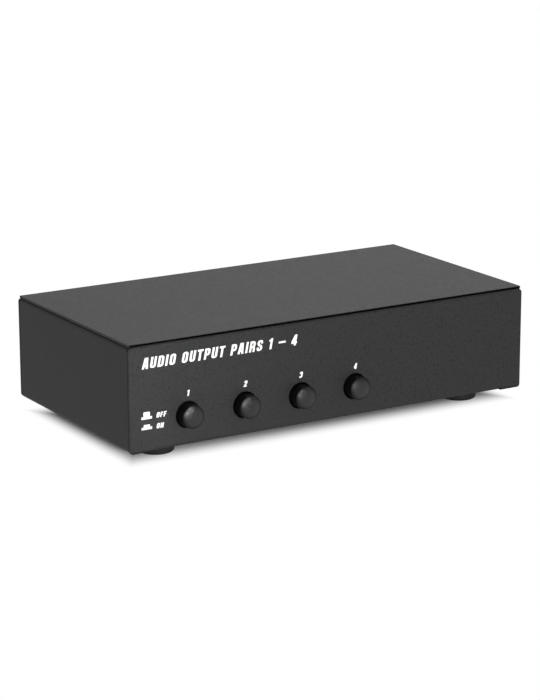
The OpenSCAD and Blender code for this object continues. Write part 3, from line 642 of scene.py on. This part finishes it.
# Printed marks: each sign has its width and its bold strokes, in a cell one cap height tall
signs = {
    "A": (0.50, [[(0.09, 0), (0.20, 1.0)], [(0.41, 0), (0.30, 1.0)], [(0.14, 0.27), (0.36, 0.27)]]),
    "D": (0.49, [[(0.10, 0.9), (0.39, 0.9, 1), (0.39, 0.1, 1), (0.10, 0.1), (0.10, 0.9)]]),
    "F": (0.42, [[(0.10, 0), (0.10, 0.9), (0.42, 0.9)], [(0.10, 0.5), (0.37, 0.5)]]),
    "I": (0.20, [[(0.10, 0), (0.10, 1.0)]]),
    "L": (0.42, [[(0.10, 1.0), (0.10, 0.1), (0.42, 0.1)]]),
    "N": (0.52, [[(0.10, 0), (0.10, 1.0)], [(0.11, 0.93), (0.41, 0.07)], [(0.42, 0), (0.42, 1.0)]]),
    "O": (0.49, [[(0.10, 0.5), (0.10, 0.9, 1), (0.39, 0.9, 1), (0.39, 0.1, 1), (0.10, 0.1, 1), (0.10, 0.5)]]),
    "P": (0.48, [[(0.10, 0), (0.10, 0.9), (0.38, 0.9, 1), (0.38, 0.44, 1), (0.10, 0.44)]]),
    "R": (0.49, [[(0.10, 0), (0.10, 0.9), (0.38, 0.9, 1), (0.38, 0.46, 1), (0.10, 0.46)],
                 [(0.24, 0.46), (0.38, 0.38, 1), (0.39, 0)]]),
    "S": (0.48, [[(0.38, 0.66), (0.38, 0.9, 1), (0.10, 0.9, 1), (0.10, 0.57, 1), (0.38, 0.43, 1), (0.38, 0.1, 1),
                  (0.10, 0.1, 1), (0.10, 0.34)]]),
    "T": (0.46, [[(0, 0.9), (0.46, 0.9)], [(0.23, 0), (0.23, 0.85)]]),
    "U": (0.49, [[(0.10, 1.0), (0.10, 0.1, 1), (0.39, 0.1, 1), (0.39, 1.0)]]),
    "1": (0.32, [[(0.21, 0), (0.21, 1.0)], [(0.03, 0.74), (0.17, 0.88)]]),
    "2": (0.48, [[(0.10, 0.64), (0.10, 0.9, 1), (0.38, 0.9, 1), (0.38, 0.6, 1), (0.12, 0.24, 1), (0.10, 0.1),
                  (0.47, 0.1)]]),
    "3": (0.48, [[(0.10, 0.7), (0.10, 0.9, 1), (0.38, 0.9, 1), (0.38, 0.53, 1), (0.2, 0.53)],
                 [(0.2, 0.53), (0.38, 0.53, 1), (0.38, 0.1, 1), (0.10, 0.1, 1), (0.10, 0.3)]]),
    "4": (0.48, [[(0.33, 0), (0.33, 1.0)], [(0.29, 0.96), (0.08, 0.34)], [(0.0, 0.27), (0.48, 0.27)]]),
    "+": (0.6, [[(0.3, 0.2), (0.3, 0.8)], [(0, 0.5), (0.6, 0.5)]]),
    "-": (0.6, [[(0, 0.5), (0.6, 0.5)]]),
    " ": (0.26, []),
}


# Space, lean and the longest cut of a round corner are in cap heights, the ink is in millimetres
signSet = {"gap": 0.13, "lean": 0.2, "cornerCut": 0.16, "cornerSteps": 6, "inkHigh": 0.02, "inkStep": 0.004}


# Points of a stroke; a third value in a point asks for a round corner there
def roundCorners(points):
    path = []
    for i, point in enumerate(points):
        here = Vector(point[:2])
        if len(point) < 3:
            path.append(here)
            continue
        before, after = Vector(points[i - 1][:2]), Vector(points[i + 1][:2])
        cut = min(signSet["cornerCut"], (here - before).length / 2, (after - here).length / 2)
        start = here + (before - here).normalized() * cut
        end = here + (after - here).normalized() * cut
        for k in range(signSet["cornerSteps"] + 1):
            t = k / signSet["cornerSteps"]
            path.append(start * (1 - t) ** 2 + here * 2 * t * (1 - t) + end * t ** 2)
    return [p for i, p in enumerate(path) if i == 0 or (p - path[i - 1]).length > 1e-5]


def strokeSides(path, width):
    closed = (path[0] - path[-1]).length < 1e-5
    left, right = [], []
    for i, here in enumerate(path):
        into = (here - path[i - 1]).normalized() if i else None
        out = (path[i + 1] - here).normalized() if i < len(path) - 1 else None
        if closed and into is None:
            into = (here - path[-2]).normalized()
        if closed and out is None:
            out = (path[1] - here).normalized()
        into, out = into or out, out or into
        side = Vector((-into.y - out.y, into.x + out.x))
        side = side / (1 + into.dot(out))
        left.append(here + side * width / 2)
        right.append(here - side * width / 2)
    return left, right


# Draws words as thin ink on a wall; across and up are the wall's directions, out is its normal
def printWords(bm, words, start, across, up, out, high, wide, lean, weight):
    along = 0.0
    for sign in words:
        width, paths = signs[sign]
        for k, points in enumerate(paths):
            left, right = strokeSides(roundCorners(points), weight)
            lift = out * (signSet["inkHigh"] + signSet["inkStep"] * k) * mm      # so that strokes can cross
            rows = []
            for pair in zip(left, right):
                rows.append([bm.verts.new(start + across * ((along + p.x) * wide + lean * p.y) * high
                                          + up * p.y * high + lift) for p in pair])
            for (a, b), (c, d) in zip(rows, rows[1:]):
                bm.faces.new((a, b, d, c))
        along += width + signSet["gap"]


def wordWidth(words, high, wide=1.0):
    return (sum(signs[s][0] + signSet["gap"] for s in words) - signSet["gap"]) * wide * high


def flatShape(bm, corners, start, across, up, out):
    bm.faces.new([bm.verts.new(start + across * x * mm + up * z * mm + out * signSet["inkHigh"] * mm)
                  for x, z in corners])


def faceOutwards(bm, out):
    for face in bm.faces:
        face.normal_update()
        if face.normal.dot(out) < 0:
            face.normal_flip()


def addPrint(bm, name, out):
    faceOutwards(bm, out)
    mesh = bpy.data.meshes.new(name)
    bm.to_mesh(mesh)
    bm.free()
    addObject(name, mesh, inkWhite, "case")


# Front print: a heading, the number over each button, and the OFF and ON signs beside them; places are (x, z)
frontPrint = {"footZ": 6.0, "heading": "AUDIO OUTPUT PAIRS 1 - 4", "headingAt": (-96.4, 36.85), "headingHigh": 4.85,
              "headingWide": 1.23, "headingWeight": 0.18,
              "numbersAt": [(-74.1, 23.3), (-45.5, 23.2), (-17.2, 23.05), (11.3, 22.9)], "numberHigh": 2.65,
              "numberWide": 1.15, "numberWeight": 0.25,
              "keyWords": [("OFF", (-89.75, 14.65)), ("ON", (-89.75, 9.85))], "keyHigh": 2.3, "keyWide": 1.28,
              "keyWeight": 0.2, "keyShapes": [((-96.9, 14.7), 3.2), ((-96.9, 10.1), 2.2)], "plateWide": 5.1,
              "plateHigh": 1.1, "capStart": 1.0, "capEnd": 4.1, "capCut": 0.3}


def makeFrontPrint(values):
    across, up, out = Vector((1, 0, 0)), Vector((0, 0, 1)), Vector((0, -1, 0))
    wall = Vector((0, frontWallY, values["footZ"] * mm))
    lean = signSet["lean"]

    def onWall(spot):
        return wall + across * spot[0] * mm + up * spot[1] * mm

    bm = bmesh.new()
    printWords(bm, values["heading"], onWall(values["headingAt"]), across, up, out, values["headingHigh"] * mm,
               values["headingWide"], lean, values["headingWeight"])
    high = values["numberHigh"] * mm
    for number, spot in enumerate(values["numbersAt"], 1):
        width = wordWidth(str(number), high) + lean * high
        printWords(bm, str(number), onWall(spot) - across * width / 2 - up * high / 2, across, up, out, high,
                   values["numberWide"], lean, values["numberWeight"])
    for words, spot in values["keyWords"]:
        printWords(bm, words, onWall(spot), across, up, out, values["keyHigh"] * mm, values["keyWide"], lean,
                   values["keyWeight"])
    plate, start, end, cut = values["plateHigh"], values["capStart"], values["capEnd"], values["capCut"]
    for spot, top in values["keyShapes"]:          # a push button standing out, and one pressed in
        for corners in ([(0, 0), (values["plateWide"], 0), (values["plateWide"], plate), (0, plate)],
                        [(start, plate), (end, plate), (end, top - cut), (end - cut, top), (start + cut, top),
                         (start, top - cut)]):
            flatShape(bm, corners, onWall(spot), across, up, out)
    addPrint(bm, "frontPrint", out)


makeFrontPrint(frontPrint)


# Rear print: what each terminal block is for, its channels and its polarity
rearPrint = {"footZ": 6.0, "nameHigh": 3.0, "nameWide": 1.1, "nameWeight": 0.2, "nameZ": 41.0, "nameShift": 12.0,
             "markHigh": 2.1, "poles": [("+", 5.9), ("-", -5.9)], "poleZ": 14.2, "poleWeight": 0.22,
             "channels": [("L", 8.2), ("R", -9.6)], "channelX": 15.4, "channelWide": 1.25, "channelWeight": 0.17}


def makeRearPrint(values):
    across, up, out = Vector((-1, 0, 0)), Vector((0, 0, 1)), Vector((0, 1, 0))
    bm = bmesh.new()
    high, small = values["nameHigh"] * mm, values["markHigh"] * mm
    for b, x in enumerate(blockX):
        word = "INPUT" if b == 0 else str(b)
        centre = Vector((x + values["nameShift"] * mm, rearWallY, (values["footZ"] + values["nameZ"]) * mm))
        half = wordWidth(word, high, values["nameWide"]) / 2
        printWords(bm, word, centre - across * half, across, up, out, high, values["nameWide"], 0,
                   values["nameWeight"])
        face = Vector((x, flangeY, blockZ))
        for sign, aside in values["poles"]:
            top = face - across * (aside * mm + wordWidth(sign, small) / 2) + up * values["poleZ"] * mm
            printWords(bm, sign, top, across, up, out, small, 1, 0, values["poleWeight"])
        for sign, height in values["channels"]:
            side = face - across * values["channelX"] * mm + up * height * mm
            printWords(bm, sign, side, across, up, out, small, values["channelWide"], 0, values["channelWeight"])
    addPrint(bm, "rearPrint", out)


makeRearPrint(rearPrint)
print("prints made")


# Studio: a pale floor that runs on to the horizon, an even sky and soft boxes, which have a place and a size in
# metres, a power in watts, and some a point to aim at and a spread in degrees
studio = {"floorRings": [0.25, 0.6, 1.5, 4.0, 9.0], "floorSides": 48, "floorColour": "#e4e4e4",
          "shadeStart": -19.0, "shadeEnd": 1.0, "sideStretch": 1.65, "sky": 0.4,
          "lamps": [("frontBox", (-0.26, -1.17, 0.16), 0.24, 12.2), ("backBox", (1.0, 1.3, 1.1), 1.2, 7.1),
                    ("gridBox", (0.1, -1.2, 0.35), 0.2, 0.086, (-0.18, -0.053, 0.03), 11)]}


# One for rays that see the background straight, in a mirror or through glass
def seenRay(tree):
    path = addNode(tree, "ShaderNodeLightPath")
    seen = addNode(tree, "ShaderNodeMath", {0: path.outputs["Is Camera Ray"], 1: path.outputs["Is Glossy Ray"]},
                   operation="MAXIMUM")
    return addNode(tree, "ShaderNodeMath", {0: seen.outputs[0], 1: path.outputs["Is Transmission Ray"]},
                   operation="MAXIMUM").outputs[0]


# Zero under the object and one away from it, by the distance from its outline
def awayFrom(tree, low, high, near, far, sideStretch):
    spot = addNode(tree, "ShaderNodeSeparateXYZ", {0: addNode(tree, "ShaderNodeTexCoord").outputs["Object"]})
    reach = []
    for axis, stretch in ((0, sideStretch), (1, 1)):
        middle = addNode(tree, "ShaderNodeMath", {0: spot.outputs[axis], 1: (low[axis] + high[axis]) / 2},
                         operation="SUBTRACT")
        side = addNode(tree, "ShaderNodeMath", {0: middle.outputs[0]}, operation="ABSOLUTE")
        past = addNode(tree, "ShaderNodeMath", {0: side.outputs[0], 1: (high[axis] - low[axis]) / 2},
                       operation="SUBTRACT")
        reach.append(addNode(tree, "ShaderNodeMath", {0: past.outputs[0], 1: stretch},
                             operation="MULTIPLY").outputs[0])
    outside = addNode(tree, "ShaderNodeMath", {0: reach[0], 1: reach[1]}, operation="MAXIMUM")
    return addNode(tree, "ShaderNodeMapRange", {"Value": outside.outputs[0], "From Min": near, "From Max": far},
                   interpolation_type="SMOOTHSTEP").outputs[0]


def makeFloor(values):
    bm = bmesh.new()
    rings = [roundRing(bm, Vector(), radius, Vector((1, 0, 0)), Vector((0, 1, 0)), values["floorSides"])
             for radius in values["floorRings"]]
    bridgeRings(bm, rings)
    bm.faces.new(rings[0])
    faceOutwards(bm, Vector((0, 0, 1)))
    mesh = bpy.data.meshes.new("studioFloor")
    bm.to_mesh(mesh)
    bm.free()
    material = bpy.data.materials.new("paperSweepWhite")       # matt paper, lit to plain white beyond the shadow
    material.use_nodes = True
    tree = material.node_tree
    tree.nodes.clear()
    paper = addNode(tree, "ShaderNodeBsdfDiffuse", {"Color": linearColour(values["floorColour"])})
    white = addNode(tree, "ShaderNodeEmission", {"Strength": 1.0})
    away = awayFrom(tree, *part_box("chassis"), values["shadeStart"] * mm, values["shadeEnd"] * mm,
                    values["sideStretch"])
    bright = addNode(tree, "ShaderNodeMath", {0: seenRay(tree), 1: away}, operation="MULTIPLY")
    mixed = addNode(tree, "ShaderNodeMixShader", {0: bright.outputs[0], 1: paper.outputs[0], 2: white.outputs[0]})
    addNode(tree, "ShaderNodeOutputMaterial", {"Surface": mixed.outputs[0]})
    floor = bpy.data.objects.new("studioFloor", mesh)
    mesh.materials.append(material)
    bpy.context.scene.collection.objects.link(floor)


def makeSky(values):
    world = bpy.data.worlds.new("studioSky")
    bpy.context.scene.world = world
    world.use_nodes = True
    tree = world.node_tree
    tree.nodes.clear()
    seen = seenRay(tree)
    strength = addNode(tree, "ShaderNodeMapRange", {"Value": seen, "To Min": values["sky"], "To Max": 1.0})
    sky = addNode(tree, "ShaderNodeBackground", {"Strength": strength.outputs[0]})
    addNode(tree, "ShaderNodeOutputWorld", {"Surface": sky.outputs[0]})


def makeLamp(name, place, size, power, aim=(0, 0, 0.02), spread=180):
    data = bpy.data.lights.new(name, "AREA")
    data.shape = "SQUARE"
    data.size = size
    data.energy = power
    data.spread = math.radians(spread)
    lamp = bpy.data.objects.new(name, data)
    lamp.location = place
    lamp.rotation_euler = (Vector(aim) - Vector(place)).to_track_quat("-Z", "Y").to_euler()
    bpy.context.scene.collection.objects.link(lamp)


makeFloor(studio)
makeSky(studio)
for lamp in studio["lamps"]:
    makeLamp(*lamp)
bpy.context.scene.view_settings.view_transform = "Standard"
print("studio set")
